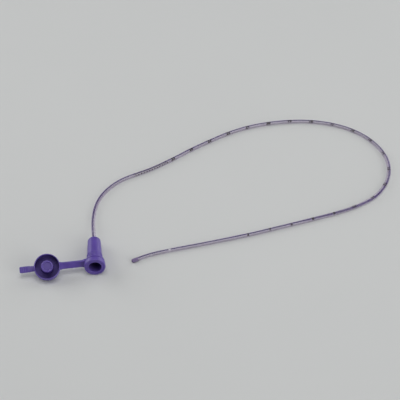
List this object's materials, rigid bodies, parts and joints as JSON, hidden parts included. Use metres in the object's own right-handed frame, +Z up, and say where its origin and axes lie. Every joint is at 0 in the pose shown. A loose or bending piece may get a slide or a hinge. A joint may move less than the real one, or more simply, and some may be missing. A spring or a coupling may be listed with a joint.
{
  "type": "feeding tube",
  "caption": "Small-bore feeding tube with centimetre marks, a closed tip, and a moulded funnel hub whose tethered plug cap closes the mouth.",
  "frame": {"origin": "on the floor, under the middle of the box round the hub, strap and cap", "axes": "+X from the cap along the strap to the hub, +Y nearly along the hub, from its mouth to its tail, +Z up from the floor"},
  "size_m": [0.1677, 0.0858, 0.009],
  "materials": {
    "purple_plastic": "satin moulded purple plastic",
    "clear_tube": "soft clear tube with a purple stripe"
  },
  "bodies": {
    "hub": {"hub": "purple_plastic", "feeding_tube": "clear_tube"},
    "strap": {"tether_strap": "purple_plastic"},
    "strap_tip": {"tether_tip": "purple_plastic"},
    "cap": {"plug_cap": "purple_plastic"}
  },
  "joints": [
    {"name": "strap_bend_at_hub", "type": "hinge", "parent": "hub", "child": "strap", "pos_m": [0.00612, -0.0047, 0.00466], "axis": [0.1166, 0.546, 0.8297], "range_deg": [0, 92.62]},
    {"name": "strap_bend_at_cap", "type": "hinge", "parent": "strap", "child": "strap_tip", "pos_m": [0.0011, -0.00488, 0.00464], "axis": [0.1166, 0.546, 0.8297], "range_deg": [0, 92.62]},
    {"name": "cap_push", "type": "slide", "parent": "strap_tip", "child": "cap", "axis": [0, -0.5, 0.866], "range_m": [0, 0.0026]}
  ],
  "couplings": [
    {"joint": "strap_bend_at_cap", "follows": "strap_bend_at_hub", "ratio": 1}
  ]
}
